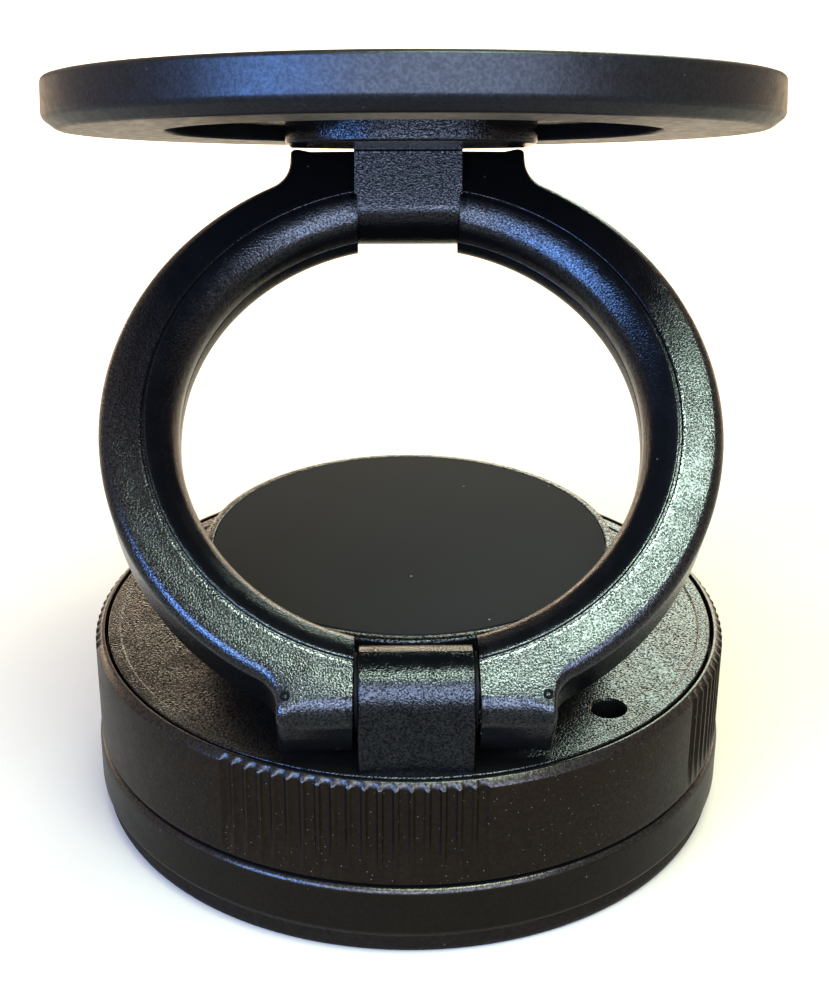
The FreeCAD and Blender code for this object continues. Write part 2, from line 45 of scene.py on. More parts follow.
# sizes in millimetres and degrees: hinges and lugs
HINGE_REACH = 23.5
HINGE_HEIGHT = 22.4
HINGE_SPAN = 47.2
RING_ANGLE = 39.0
PLATE_ANGLE = 17.5
LUG_RADIUS = 3.73
LUG_ROUND = LUG_RADIUS - 0.01
LOWER_LUG_HALF = 4.73
UPPER_LUG_HALF = 4.88
LOWER_SLOT_HALF = 5.72
UPPER_SLOT_HALF = 5.2
# ring arm: facet, quarter round and ears
RING_OUTER = 26.6
RING_INNER = 19.9
SEAM_START = RING_INNER + 0.3
RING_MIDDLE = HINGE_SPAN / 2
LIP_TOP = 3.58
PARTING_FLOOR = 3.36
FACET_INNER = 22.9
FACET_EDGE = 22.94
FACET_TOP = 3.6
STRIP_OUTER = 23.2
STRIP_LOW = 3.37
FACET_SLOPE = 0.08
RING_EDGE = 1.0
FACET_SPREAD = 2.0
FACET_START = RING_OUTER - FACET_SPREAD
RING_STEPS = 420
EAR_ROUND = 2.0
EAR_BACK_ROUND = 2.0
EAR_SIDE_ROUND = 0.7
UPPER_EAR_END = 4.4
LOWER_EAR_END = 4.0
LOWER_EAR_LEAN = 0.116
EAR_CORNER = 0.7
LOWER_EAR_HALF = 11.2
UPPER_EAR_HALF = 10.7
FLARE = 3.0
EAR_SHARE = 0.6
EAR_SPAN = 30.0
QUARTER = 90.0
EAR_SWELL = 1.2
CORNER_LEAD = 1.0
CORNER_FADE = 4.0
REACH_STEP = 0.7
REACH_SLACK = 0.002
EDGE_SLACK = 0.01
LEAST_TURN = 0.01
LEAST_AIM = 0.001
SLOT_LIP = 0.14
END_SIDES = 12
# base
CUP_RADIUS = 28.8
HOUSING_RADIUS = 29.2
HOUSING_TOP = 6.8
KNOB_RADIUS = 29.0
KNOB_BORE = 26.5
KNOB_BOTTOM = 7.05
KNOB_TOP = 16.9
KNOB_STEPS = 1800
GROOVE_RADIUS = 0.48
GROOVE_DEPTH = 0.32
GROOVE_REACH = 28.3
GROOVE_BOTTOM = 7.7
GROOVE_FULL = 9.9
GROOVE_COUNT = 18
GROOVE_PITCH = 2.55
GROOVE_CENTRE = -101.0
GROOVE_PATCHES = 4
PATCH_TURN = 360.0 / GROOVE_PATCHES
COVER_RADIUS = 27.85
COVER_FLOOR = 16.78
COVER_UNDER = 14.9
PLATFORM_RADIUS = 18.8
PLATFORM_TOP = 24.4
SHEET_RADIUS = 17.85
SHEET_UNDER = 24.12
SHEET_TOP = 24.45
VENT_ACROSS = 16.64
VENT_ALONG = -17.35
VENT_RADIUS = 1.45
VENT_WIDE = VENT_RADIUS + 0.22
# marks of the ejector pins on the lower ears: raised dull rings, dark as painted shade of the pins'
# pits
EJECTOR_SIDE = 10.45
EJECTOR_ALONG = -1.5
EJECTOR_MARK = [(0.18, -0.1, 0), (0.2, 0.2, 0.02), (0.4, 0.2, 0.02), (0.42, -0.1, 0)]
EJECTOR_STEPS = 32
# plate and swivel hub, measured from the upper hinge
PLATE_CENTRE = -23.5
PLATE_RADIUS = 29.0
PLATE_UNDER = 5.3
PLATE_TOP = 9.3
TRAY_RADIUS = 27.6
RECESS_RADIUS = 19.6
RECESS_ROOF = 7.3
FACE_RADIUS = 27.5
FACE_UNDER = 8.97
FACE_TOP = 9.4
HUB_RADIUS = 19.3
HUB_UNDER = 6.5
HUB_TOP = 7.2
JOURNAL_RADIUS = 8.0
JOURNAL_TOP = 7.95
BOSS_REACH = 19.2
BOSS_HALF = 10.5
BOSS_SIDE_END = 8.0
BOSS_NOSE = 6.5
BOSS_DROP = 0.6
BOSS_HEIGHT = 2.0
BOSS_EASE = 0.25
SHARP_TURN = 0.6
ARM_ROOT = -6.4
ARM_TOP = 5.2
# how finely round things are drawn
ROUND_STEPS = 256
FINE_STEPS = 192
COVER_STEPS = 288
VENT_STEPS = 48
SMALL_ROUND = 0.5
SMALL_SEGMENTS = 3
ROUND_SEGMENTS = 10
MERGE = 0.0005
FINE_MERGE = 0.0001
LEAST_RADIUS = 0.00001
SAME_PLANE = 0.001

RING_ROOT = Vector((0, -HINGE_REACH, HINGE_HEIGHT))
RING_SET = Matrix.Translation(RING_ROOT) @ Matrix.Rotation(math.radians(RING_ANGLE), 4, "X")
PLATE_ROOT = RING_SET @ Vector((0, HINGE_SPAN, 0))
PLATE_SET = Matrix.Translation(PLATE_ROOT) @ Matrix.Rotation(math.radians(-PLATE_ANGLE), 4, "X")
BASE_SET = Matrix.Identity(4)


# finishes
def linear(hex_colour):
    """A web colour as linear red, green, blue and alpha."""
    channels = []
    for start in (1, 3, 5):
        share = int(hex_colour[start:start + 2], 16) / 255
        low = share / 12.92
        high = ((share + 0.055) / 1.055) ** 2.4
        channels.append(low if share <= 0.04045 else high)
    return (*channels, 1.0)


def add(tree, kind, settings, inputs):
    """One shader node: its settings, then its inputs as plain values or linked sockets."""
    made = tree.nodes.new(kind)
    for key, value in settings.items():
        setattr(made, key, value)
    for key, value in inputs.items():
        if isinstance(value, bpy.types.NodeSocket):
            tree.links.new(value, made.inputs[key])
        else:
            made.inputs[key].default_value = value
    return made


# colour inputs and colour output of the mix node
MIX_FIRST = 6
MIX_SECOND = 7
MIXED = 2


def per_metre(size_mm):
    """Texture scale whose cells are that many millimetres across."""
    return 1.0 / (size_mm * MM)


def new_finish(name):
    """An empty material, its node tree and its object coordinates in metres."""
    finish = bpy.data.materials.new(name)
    finish.use_nodes = True
    tree = finish.node_tree
    tree.nodes.clear()
    coords = add(tree, "ShaderNodeTexCoord", {}, {}).outputs["Object"]
    return finish, tree, coords


def close_finish(tree, inputs):
    """Ends a material with its surface shader."""
    shader = add(tree, "ShaderNodeBsdfPrincipled", {}, inputs)
    add(tree, "ShaderNodeOutputMaterial", {}, {"Surface": shader.outputs["BSDF"]})


ABS_IOR = 1.53
WORN_PATCH_MM = 5.0
STREAK_TURN = (0.3, 0.5, 0.7)
STREAK_STRETCH = (1.0, 0.22, 1.0)
LINT_TONE = "#6a675f"


def moulded_black(name, body, worn, grain_mm, grain_depth_mm, glitter, gloss, dull, streak_mm, lint,
                  shine, painted_reflection_tint="#ffffff", lint_mm=2.2, lint_size=0.045):
    """Black moulded plastic: grain from the tool's surface whose pits swallow
    the light and whose tops throw it back, patches rubbed smoother, long
    faint streaks and a little lint. A tint other than white colours the
    reflections: painted reflection colour."""
    finish, tree, coords = new_finish(name)
    patches = add(tree, "ShaderNodeTexNoise", {},
                  {"Vector": coords, "Scale": per_metre(WORN_PATCH_MM), "Detail": 4.0,
                   "Roughness": 0.6})
    stretched = add(tree, "ShaderNodeMapping", {},
                    {"Vector": coords, "Rotation": STREAK_TURN, "Scale": STREAK_STRETCH})
    streaks = add(tree, "ShaderNodeTexNoise", {},
                  {"Vector": stretched.outputs["Vector"], "Scale": per_metre(streak_mm),
                   "Detail": 3.0, "Roughness": 0.65})
    grain = add(tree, "ShaderNodeTexNoise", {},
                {"Vector": coords, "Scale": per_metre(grain_mm), "Detail": 1.0, "Roughness": 0.5})
    rubbed = add(tree, "ShaderNodeMapRange", {"interpolation_type": "SMOOTHSTEP"},
                 {"Value": patches.outputs["Fac"], "From Min": 0.34, "From Max": 0.56,
                  "To Min": 0.45, "To Max": 1.0})
    bump = add(tree, "ShaderNodeBump", {},
               {"Height": grain.outputs["Fac"], "Strength": rubbed.outputs["Result"],
                "Distance": grain_depth_mm * MM})
    tops = add(tree, "ShaderNodeMapRange", {},
               {"Value": grain.outputs["Fac"], "From Min": 0.36, "From Max": 0.66,
                "To Min": shine * (1 - glitter), "To Max": shine * (1 + 1.3 * glitter)})
    spots = add(tree, "ShaderNodeTexVoronoi", {"feature": "F1"},
                {"Vector": coords, "Scale": per_metre(lint_mm), "Randomness": 1.0})
    speck = add(tree, "ShaderNodeMapRange", {},
                {"Value": spots.outputs["Distance"], "From Min": lint_size / 2,
                 "From Max": lint_size, "To Min": lint, "To Max": 0.0})
    tone = add(tree, "ShaderNodeMix", {"data_type": "RGBA"},
               {"Factor": streaks.outputs["Fac"], MIX_FIRST: linear(body), MIX_SECOND: linear(worn)})
    dusted = add(tree, "ShaderNodeMix", {"data_type": "RGBA"},
                 {"Factor": speck.outputs["Result"], MIX_FIRST: tone.outputs[MIXED],
                  MIX_SECOND: linear(LINT_TONE)})
    sheen = add(tree, "ShaderNodeMapRange", {},
                {"Value": streaks.outputs["Fac"], "From Min": 0.3, "From Max": 0.7,
                 "To Min": gloss, "To Max": dull})
    close_finish(tree, {"Base Color": dusted.outputs[MIXED], "Roughness": sheen.outputs["Result"],
                        "Normal": bump.outputs["Normal"], "IOR": ABS_IOR,
                        "Specular IOR Level": tops.outputs["Result"],
                        "Specular Tint": linear(painted_reflection_tint)})
    return finish


# ABS moulded in a spark-eroded tool: semi-gloss, and every pit gives its own sparkle
ring_abs = moulded_black("abs_spark_eroded_ring", body="#040404", worn="#060606", grain_mm=0.15,
                         grain_depth_mm=0.036, glitter=0.66, gloss=0.19, dull=0.26, streak_mm=1.6,
                         lint=0.25, shine=0.205)
# strip beside the ring's parting groove: a shinier, slightly lighter copy of the ring plastic that
# draws a thin, brighter line, a painted highlight standing in for the light caught by the groove's
# edge
facet_highlight_abs = moulded_black("abs_facet_strip_painted_highlight", body="#050505", worn="#080808", grain_mm=0.18,
                          grain_depth_mm=0.036, glitter=0.90, gloss=0.18, dull=0.25, streak_mm=1.2,
                          lint=0.1, shine=0.36)
# witness left by the tool's ejector pin, a shallow pit: the same plastic, dull and almost without
# reflection, so it shows as a dark ring; this dark ring is painted shade standing in for the shade
# inside the pit
ejector_pit_shade_abs = moulded_black("abs_ejector_witness_painted_pit_shade", body="#020202", worn="#030303", grain_mm=0.20,
                         grain_depth_mm=0.010, glitter=0.20, gloss=0.60, dull=0.70, streak_mm=1.2,
                         lint=0.0, shine=0.03)
# the same plastic on the hinge lugs: deeper grain and more gloss, so sharper glints
lug_abs = moulded_black("abs_spark_eroded_lug", body="#030303", worn="#050505", grain_mm=0.15,
                        grain_depth_mm=0.040, glitter=0.72, gloss=0.14, dull=0.20, streak_mm=1.4,
                        lint=0.2, shine=0.15)
# cover plate: ABS with an even sandy grain that glitters where the light grazes it
cover_abs = moulded_black("abs_sand_grained_cover", body="#050504", worn="#080706", grain_mm=0.19,
                          grain_depth_mm=0.050, glitter=0.95, gloss=0.20, dull=0.28, streak_mm=2.4,
                          lint=0.25, shine=0.138)
# twist ring: ABS with a fine satin texture, brownish black, handled and full of dust; its warm
# reflection tint is painted warm reflection
knob_abs = moulded_black("abs_satin_twist_ring", body="#060504", worn="#090705", grain_mm=0.30,
                         grain_depth_mm=0.012, glitter=0.16, gloss=0.34, dull=0.42, streak_mm=2.0,
                         lint=0.55, shine=0.125, painted_reflection_tint="#ffc987", lint_mm=0.5, lint_size=0.09)
# lower housing: smoother satin ABS with a soft sheen; the sheen's warm tint is painted warm
# reflection
housing_abs = moulded_black("abs_satin_lower_housing", body="#050504", worn="#080705", grain_mm=0.30,
                            grain_depth_mm=0.010, glitter=0.12, gloss=0.34, dull=0.42,
                            streak_mm=2.6, lint=0.3, shine=0.11, painted_reflection_tint="#ffd298")
# rims of twist ring and housing, rubbed by hands: smoother, so they catch a thin bright line; the
# warm tint on their reflections is painted reflection colour
rubbed_abs = moulded_black("abs_hand_rubbed_rim", body="#050505", worn="#080808", grain_mm=0.22,
                           grain_depth_mm=0.020, glitter=0.40, gloss=0.24, dull=0.32, streak_mm=1.8,
                           lint=0.2, shine=0.21, painted_reflection_tint="#ffeeda")
# plate: ABS with a soft matte texture and faint flow streaks from moulding
plate_abs = moulded_black("abs_matte_plate_shell", body="#040405", worn="#070708", grain_mm=0.24,
                          grain_depth_mm=0.012, glitter=0.16, gloss=0.34, dull=0.44, streak_mm=0.9,
                          lint=0.1, shine=0.15)
# suction cup: soft black elastomer, dull, a little dusty; the warm tint on its reflections is painted
# warm reflection
cup_rubber = moulded_black("elastomer_moulded_cup", body="#060504", worn="#090706", grain_mm=0.40,
                           grain_depth_mm=0.02, glitter=0.2, gloss=0.50, dull=0.62, streak_mm=3.0,
                           lint=0.4, shine=0.11, painted_reflection_tint="#ffd8a6")
# plate's phone side: thin silicone sheet with a silky, even surface
face_silicone = moulded_black("silicone_calendered_face", body="#0b0b0c", worn="#101011",
                              grain_mm=0.30, grain_depth_mm=0.01, glitter=0.12, gloss=0.52,
                              dull=0.60, streak_mm=4.0, lint=0.2, shine=0.16)


def dull_sheet():
    """Die-cut polycarbonate sheet with a velvet print coat: dark grey, hardly
    any gloss, a fine tooth and a few dust specks."""
    finish, tree, coords = new_finish("polycarbonate_velvet_sheet")
    cloud = add(tree, "ShaderNodeTexNoise", {},
                {"Vector": coords, "Scale": per_metre(9.0), "Detail": 5.0})
    tone = add(tree, "ShaderNodeMix", {"data_type": "RGBA"},
               {"Factor": cloud.outputs["Fac"], MIX_FIRST: linear("#0a0b09"),
                MIX_SECOND: linear("#0e0f0d")})
    spots = add(tree, "ShaderNodeTexVoronoi", {"feature": "F1"},
                {"Vector": coords, "Scale": per_metre(3.6)})
    speck = add(tree, "ShaderNodeMapRange", {},
                {"Value": spots.outputs["Distance"], "From Min": 0.015, "From Max": 0.035,
                 "To Min": 0.7, "To Max": 0.0})
    dusted = add(tree, "ShaderNodeMix", {"data_type": "RGBA"},
                 {"Factor": speck.outputs["Result"], MIX_FIRST: tone.outputs[MIXED],
                  MIX_SECOND: linear("#8a8b84")})
    fine = add(tree, "ShaderNodeTexNoise", {},
               {"Vector": coords, "Scale": per_metre(0.25), "Detail": 2.0})
    bump = add(tree, "ShaderNodeBump", {},
               {"Height": fine.outputs["Fac"], "Strength": 0.5, "Distance": 0.02 * MM})
    close_finish(tree, {"Base Color": dusted.outputs[MIXED], "Roughness": 0.72,
                        "Normal": bump.outputs["Normal"], "IOR": 1.2,
                        "Specular IOR Level": 0.36})
    return finish


def turned_metal(name, tone, bright, ring_mm, rough_low, rough_high):
    """Bare, blackened or plated metal with fine marks left by turning, rolling or plating."""
    finish, tree, coords = new_finish(name)
    marks = add(tree, "ShaderNodeTexNoise", {},
                {"Vector": coords, "Scale": per_metre(ring_mm), "Detail": 3.0})
    colour = add(tree, "ShaderNodeMix", {"data_type": "RGBA"},
                 {"Factor": marks.outputs["Fac"], MIX_FIRST: linear(tone),
                  MIX_SECOND: linear(bright)})
    rough = add(tree, "ShaderNodeMapRange", {},
                {"Value": marks.outputs["Fac"], "To Min": rough_low, "To Max": rough_high})
    close_finish(tree, {"Base Color": colour.outputs[MIXED], "Metallic": 1.0,
                        "Roughness": rough.outputs["Result"]})
    return finish


def dull_acetal():
    """Punched acetal sheet filled with graphite: deep black, dull, slightly cloudy."""
    finish, tree, coords = new_finish("acetal_graphite_punched_washer")
    cloud = add(tree, "ShaderNodeTexNoise", {},
                {"Vector": coords, "Scale": per_metre(1.5), "Detail": 3.0})
    colour = add(tree, "ShaderNodeMix", {"data_type": "RGBA"},
                 {"Factor": cloud.outputs["Fac"], MIX_FIRST: linear("#030303"),
                  MIX_SECOND: linear("#050505")})
    rough = add(tree, "ShaderNodeMapRange", {},
                {"Value": cloud.outputs["Fac"], "To Min": 0.6, "To Max": 0.75})
    close_finish(tree, {"Base Color": colour.outputs[MIXED], "Roughness": rough.outputs["Result"],
                        "IOR": 1.48, "Specular IOR Level": 0.1})
    return finish


sheet_finish = dull_sheet()
# hinge and cross pins: steel turned and blackened, a dark satin that keeps the slots black
pin_steel = turned_metal("steel_black_oxide_pin", tone="#141413", bright="#1c1c1a", ring_mm=0.2,
                         rough_low=0.30, rough_high=0.45)
# screws and retainer: zinc plated steel, a bright even grey
screw_steel = turned_metal("steel_zinc_plated_screw", tone="#9a9a96", bright="#c4c6c8", ring_mm=0.5,
                           rough_low=0.22, rough_high=0.38)
# yoke: rolled sheet steel, a duller grey
yoke_steel = turned_metal("steel_rolled_yoke", tone="#7f7f7c", bright="#9d9d99", ring_mm=0.8,
                          rough_low=0.30, rough_high=0.45)
# magnets: nickel plated, bright and slightly warm
magnet_nickel = turned_metal("neodymium_nickel_plated", tone="#a8a49b", bright="#c9c5bb", ring_mm=0.6,
                             rough_low=0.12, rough_high=0.24)
washer_acetal = dull_acetal()


# shapes
def outline(bm, points, closed):
    """A wire of (first, second, corner round) points in the YZ plane, corners rounded."""
    corners = [bm.verts.new((0, first, second)) for first, second, size in points]
    for start, end in zip(corners, corners[1:]):
        bm.edges.new((start, end))
    if closed:
        bm.edges.new((corners[-1], corners[0]))
    sizes = sorted({size for first, second, size in points if size > 0})
    groups = [(size, [v for v, p in zip(corners, points) if p[2] == size]) for size in sizes]
    for size, group in groups:
        bmesh.ops.bevel(bm, geom=group, offset=size, offset_type="OFFSET",
                        segments=SMALL_SEGMENTS if size < SMALL_ROUND else ROUND_SEGMENTS,
                        profile=0.5, affect="VERTICES", material=-1)


def clean(bm):
    """Joins points that meet and turns every face outwards."""
    bmesh.ops.remove_doubles(bm, verts=bm.verts[:], dist=MERGE)
    bmesh.ops.recalc_face_normals(bm, faces=bm.faces[:])


def section_points(points, closed):
    """The rounded outline's points in order, as (radius, height)."""
    wire = bmesh.new()
    outline(wire, points, closed)
    loose = [v for v in wire.verts if len(v.link_edges) == 1]
    here = min(loose or wire.verts, key=lambda v: (v.co - Vector((0, *points[0][:2]))).length)
    order = [here]
    while True:
        onward = [e.other_vert(here) for e in here.link_edges]
        onward = [v for v in onward if v not in order]
        if not onward:
            break
        here = onward[0]
        order.append(here)
    places = [(v.co.y, v.co.z) for v in order]
    wire.free()
    return places + places[:1] if closed else places


def swept(bm, loop, places):
    """Draws a ring of edges out from one section point to the next."""
    edges = loop
    for (radius, height), (wider, higher) in zip(places, places[1:]):
        grown = bmesh.ops.extrude_edge_only(bm, edges=edges)["geom"]
        verts = [part for part in grown if isinstance(part, bmesh.types.BMVert)]
        edges = [part for part in grown if isinstance(part, bmesh.types.BMEdge)]
        ratio = max(wider, LEAST_RADIUS) / max(radius, LEAST_RADIUS)
        bmesh.ops.scale(bm, verts=verts, vec=(ratio, ratio, 1.0))
        bmesh.ops.translate(bm, verts=verts, vec=(0, 0, higher - height))


def turned(points, steps, closed=True):
    """A half-section of (radius, height, corner round) points, carried round Z."""
    places = section_points(points, closed)
    bm = bmesh.new()
    bmesh.ops.create_circle(bm, radius=max(places[0][0], LEAST_RADIUS), segments=steps)
    bmesh.ops.translate(bm, verts=bm.verts[:], vec=(0, 0, places[0][1]))
    swept(bm, bm.edges[:], places)
    clean(bm)
    return bm


def drawn_out(points, half, ease):
    """A side outline of (y, z, corner round) points, drawn out along X to both
    sides, its end edges eased."""
    bm = bmesh.new()
    outline(bm, points, True)
    bmesh.ops.contextual_create(bm, geom=bm.edges[:])
    bmesh.ops.translate(bm, verts=bm.verts[:], vec=(-half, 0, 0))
    grown = bmesh.ops.extrude_face_region(bm, geom=bm.faces[:])["geom"]
    moved = [part for part in grown if isinstance(part, bmesh.types.BMVert)]
    bmesh.ops.translate(bm, verts=moved, vec=(2 * half, 0, 0))
    clean(bm)
    rims = [e for e in bm.edges if abs(e.verts[0].co.x - e.verts[1].co.x) < SAME_PLANE]
    bmesh.ops.bevel(bm, geom=rims, offset=ease, offset_type="OFFSET", segments=3, profile=0.5,
                    affect="EDGES", clamp_overlap=True, material=-1)
    return bm


def join(first, second):
    """Adds the second mesh to the first."""
    spare = bpy.data.meshes.new("spare")
    second.to_mesh(spare)
    second.free()
    first.from_mesh(spare)
    bpy.data.meshes.remove(spare)
    return first


def settle(name, bm, place, body, nodes, finish, crease=32.0):
    """Sets a finished shape in the shared frame in metres, and ties it to its body."""
    bmesh.ops.transform(bm, matrix=Matrix.Scale(MM, 4) @ place, verts=bm.verts[:])
    mesh = bpy.data.meshes.new(name)
    bm.to_mesh(mesh)
    bm.free()
    for face in mesh.polygons:
        face.use_smooth = True
    mesh.set_sharp_from_angle(angle=math.radians(crease))
    mesh.materials.append(finish)
    piece = bpy.data.objects.new(name, mesh)
    bpy.context.scene.collection.objects.link(piece)
    even = piece.modifiers.new("even_shading", "WEIGHTED_NORMAL")
    even.keep_sharp = True
    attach(piece, body)
    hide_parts(*nodes)
    return piece


def rub_rim(piece, inner_mm, low_mm, lean):
    """Gives the rubbed finish to the rim's faces: outside a radius, above a height, leaning up."""
    piece.data.materials.append(rubbed_abs)
    for face in piece.data.polygons:
        reach = math.hypot(face.center.x, face.center.y)
        rim = reach > inner_mm * MM and face.center.z > low_mm * MM and face.normal.z > lean
        face.material_index = 1 if rim else 0


# base
cup = turned([(0.0, 1.0, 0), (18.0, 1.0, 0.6), (26.5, 0.0, 0.3), (28.45, 0.0, 0.25),
              (CUP_RADIUS, 0.7, 0.25), (CUP_RADIUS, 1.95, 0.2), (26.4, 1.95, 0), (26.4, 3.55, 0),
              (24.4, 3.55, 0), (24.4, 2.6, 0), (6.5, 2.6, 0), (6.5, 3.1, 0), (0.0, 3.1, 0)],
             ROUND_STEPS, False)
settle("suction_cup_skirt", cup, BASE_SET, "base", ["suction_cup"], cup_rubber)

housing = turned([(26.45, 2.0, 0), (28.95, 2.0, 0.15), (HOUSING_RADIUS, 2.35, 0.2),
                  (HOUSING_RADIUS, HOUSING_TOP, 0.6), (26.2, HOUSING_TOP, 0), (26.2, 9.6, 0.1),
                  (25.0, 9.6, 0.1), (25.0, HOUSING_TOP, 0), (9.0, HOUSING_TOP, 0), (9.0, 11.0, 0),
                  (7.2, 11.0, 0), (7.2, 5.4, 0), (24.0, 5.4, 0), (24.0, 3.6, 0),
                  (26.45, 3.6, 0)], ROUND_STEPS)
housing_piece = settle("lower_housing_wall", housing, BASE_SET, "base", ["lower_housing"],
                       housing_abs)
rub_rim(housing_piece, inner_mm=28.4, low_mm=6.1, lean=0.25)


def ribbed_knob():
    """Twist ring: a spun wall with a web, then its outside pressed in along
    the grooves between the ribs, which run out towards the bottom."""
    bm = turned([(KNOB_BORE, KNOB_BOTTOM, 0.1), (KNOB_RADIUS, KNOB_BOTTOM, 0.25),
                 (KNOB_RADIUS, 7.66, 0), (KNOB_RADIUS, GROOVE_FULL, 0), (KNOB_RADIUS, 12.0, 0),
                 (KNOB_RADIUS, 16.3, 0.12), (28.42, KNOB_TOP, 0.1), (28.15, KNOB_TOP, 0.06),
                 (28.15, 14.6, 0), (KNOB_BORE, 14.6, 0), (KNOB_BORE, 13.3, 0), (9.0, 13.3, 0),
                 (9.0, 15.8, 0), (6.1, 15.8, 0), (6.1, 11.5, 0), (KNOB_BORE, 11.5, 0)], KNOB_STEPS)
    for vert in bm.verts:
        reach = math.hypot(vert.co.x, vert.co.y)
        if reach < GROOVE_REACH or vert.co.z < GROOVE_BOTTOM:
            continue
        bearing = math.degrees(math.atan2(vert.co.y, vert.co.x)) - GROOVE_CENTRE
        bearing = (bearing + PATCH_TURN / 2) % PATCH_TURN - PATCH_TURN / 2
        place = bearing / GROOVE_PITCH + (GROOVE_COUNT - 1) / 2.0
        nearest = min(max(round(place), 0), GROOVE_COUNT - 1)
        aside = abs(place - nearest) * math.radians(GROOVE_PITCH) * KNOB_RADIUS
        if aside < GROOVE_RADIUS:
            depth = GROOVE_DEPTH * math.sqrt(1 - (aside / GROOVE_RADIUS) ** 2)
            inward = min((KNOB_RADIUS - depth) / reach, 1.0)
            vert.co.x *= inward
            vert.co.y *= inward
    return bm


knob_piece = settle("grip_ring_knob", ribbed_knob(), BASE_SET, "grip", ["grip_ring"],
                    knob_abs, crease=40.0)
rub_rim(knob_piece, inner_mm=28.2, low_mm=16.2, lean=0.2)


def holed(bm, cutter):
    """The first shape with the second one taken out of it."""
    solids = []
    for name, shape in (("blank", bm), ("cutter", cutter)):
        mesh = bpy.data.meshes.new(name)
        shape.to_mesh(mesh)
        shape.free()
        solid = bpy.data.objects.new(name, mesh)
        bpy.context.scene.collection.objects.link(solid)
        solids.append(solid)
    bore = solids[0].modifiers.new("bore", "BOOLEAN")
    bore.operation = "DIFFERENCE"
    bore.solver = "EXACT"
    bore.object = solids[1]
    depsgraph = bpy.context.evaluated_depsgraph_get()
    result = bmesh.new()
    result.from_object(solids[0], depsgraph)
    for solid in solids:
        mesh = solid.data
        bpy.data.objects.remove(solid)
        bpy.data.meshes.remove(mesh)
    return result


cover = turned([(COVER_RADIUS, COVER_UNDER, 0), (COVER_RADIUS, KNOB_TOP, 0.15),
                (26.75, KNOB_TOP, 0.06), (26.65, COVER_FLOOR, 0.04),
                (PLATFORM_RADIUS, COVER_FLOOR, 0.25), (PLATFORM_RADIUS, PLATFORM_TOP, 0.42),
                (17.9, PLATFORM_TOP, 0.1), (17.9, 24.1, 0), (0.0, 24.1, 0), (0.0, 22.3, 0),
                (16.8, 22.3, 0), (16.8, COVER_UNDER, 0)], COVER_STEPS)
vent = turned([(0.0, 14.0, 0), (VENT_RADIUS, 14.0, 0), (VENT_RADIUS, 16.6, 0), (VENT_WIDE, 16.8, 0),
               (VENT_WIDE, 17.5, 0), (0.0, 17.5, 0)], VENT_STEPS, False)
bmesh.ops.translate(vent, verts=vent.verts[:], vec=(VENT_ACROSS, VENT_ALONG, 0))
cover = holed(cover, vent)
lower_lug = drawn_out([(-HINGE_REACH - LUG_RADIUS, 16.0, 0),
                       (-HINGE_REACH - LUG_RADIUS, HINGE_HEIGHT + LUG_RADIUS, LUG_ROUND),
                       (-HINGE_REACH + LUG_RADIUS, HINGE_HEIGHT + LUG_RADIUS, LUG_ROUND),
                       (-HINGE_REACH + LUG_RADIUS, 16.0, 0)], LOWER_LUG_HALF, 0.22)
settle("top_cover_plate", cover, BASE_SET, "base", ["top_cover"], cover_abs)
settle("lower_hinge_lug", lower_lug, BASE_SET, "base", ["top_cover"], lug_abs)

sheet = turned([(0.0, SHEET_UNDER, 0), (SHEET_RADIUS, SHEET_UNDER, 0),
                (SHEET_RADIUS, SHEET_TOP, 0.1), (0.0, SHEET_TOP, 0)], FINE_STEPS, False)
settle("platform_dull_sheet", sheet, BASE_SET, "base", ["platform_pad"],
       sheet_finish)


# ring arm
def plan_reach(bearing, ear_half, ear_end):
    """How far the ring's outside, flare and ear reach at a bearing, in degrees, from the hinge."""
    turn = math.radians(max(bearing, LEAST_TURN))
    aim = Vector((math.sin(turn), math.cos(turn)))
    end = RING_MIDDLE + ear_end
    flare_side = ear_half + FLARE
    flare_rise = math.sqrt((RING_OUTER + FLARE) ** 2 - flare_side ** 2)
    meet = math.atan2(flare_side, flare_rise)
    leave = math.atan2(ear_half, flare_rise)
    if turn >= meet:
        return RING_OUTER
    if turn >= leave:
        centre = Vector((flare_side, flare_rise))
        along = centre.dot(aim)
        return along - math.sqrt(max(FLARE ** 2 - centre.length_squared + along ** 2, 0.0))
    corner = Vector((ear_half - EAR_CORNER, end - EAR_CORNER))
    if math.atan2(corner.x, end) < turn < math.atan2(ear_half, corner.y):
        along = corner.dot(aim)
        return along + math.sqrt(max(EAR_CORNER ** 2 - corner.length_squared + along ** 2, 0.0))
    return min(end / aim.y, ear_half / max(aim.x, LEAST_AIM))


def facet_height(reach):
    """Height of the ring arm's facet, which falls slightly outwards."""
    return FACET_TOP - FACET_SLOPE * (reach - FACET_INNER)


